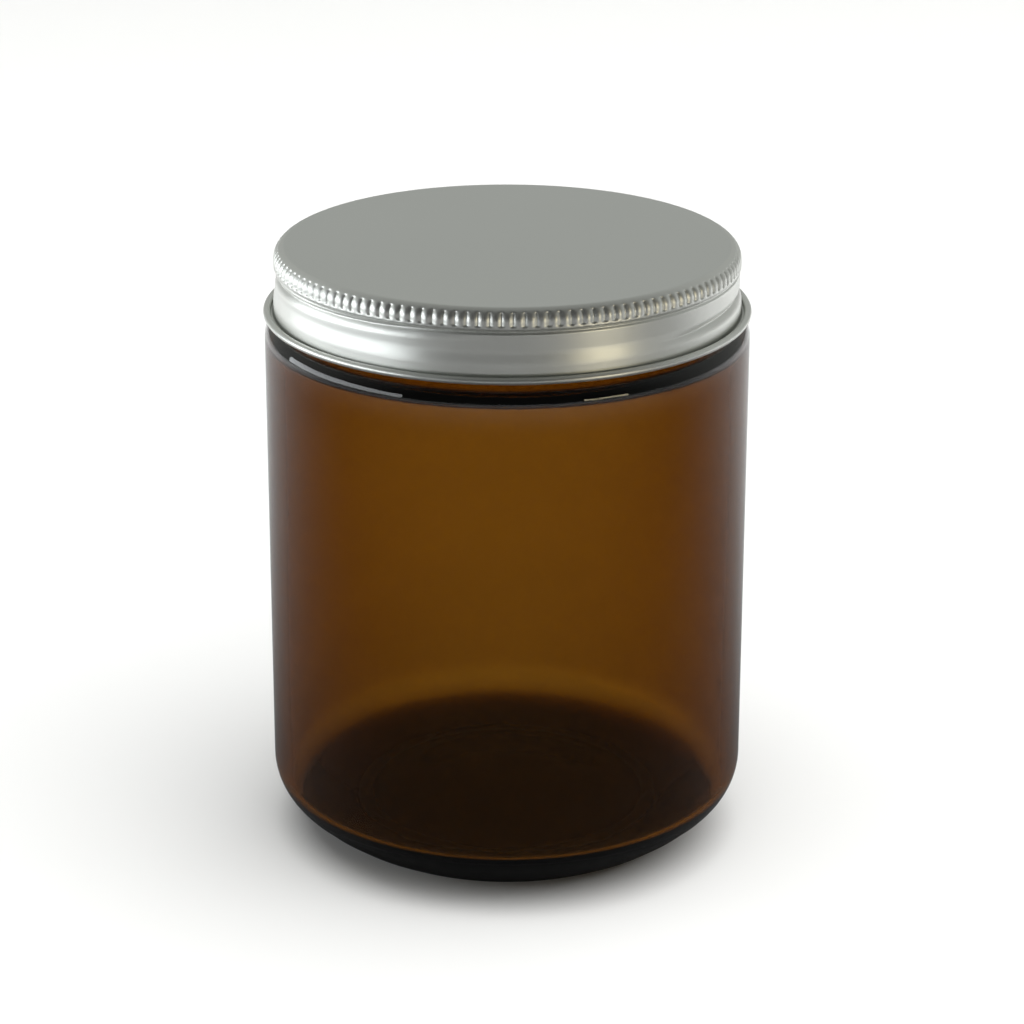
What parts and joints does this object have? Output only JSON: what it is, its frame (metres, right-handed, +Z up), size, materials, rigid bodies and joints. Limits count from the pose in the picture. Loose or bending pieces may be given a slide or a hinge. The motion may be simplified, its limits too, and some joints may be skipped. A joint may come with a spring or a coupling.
{
  "type": "apothecary jar",
  "caption": "Straight-sided amber glass jar with a rounded heel and a threaded neck, closed by a knurled aluminium screw lid with a foam liner.",
  "frame": {"origin": "middle of the base, in the plane of the ring that the jar stands on", "axes": "+Z up along the jar's and the lid's common screw axis, +X to the right and -Y towards the front"},
  "size_m": [0.0734, 0.0734, 0.0942],
  "materials": {
    "amber_glass": "clear dark amber glass, glossy fire-polished surface",
    "satin_aluminium": "satin, bare metal colour",
    "liner_foam": "matt closed-cell foam sheet"
  },
  "bodies": {
    "jar": {"glass_jar": "amber_glass"},
    "liner": {"liner": "liner_foam"},
    "lid": {"lid_shell": "satin_aluminium"}
  },
  "joints": [
    {"name": "lid_rise", "type": "slide", "parent": "jar", "child": "liner", "axis": [0, 0, 1], "range_m": [0, 0.013]},
    {"name": "lid_turn", "type": "hinge", "parent": "liner", "child": "lid", "pos_m": [0, 0, 0.0836], "axis": [0, 0, 1], "range_deg": [0, 1080]}
  ],
  "couplings": [
    {"joint": "lid_rise", "follows": "lid_turn", "m_per_rad": 0.00067376}
  ]
}
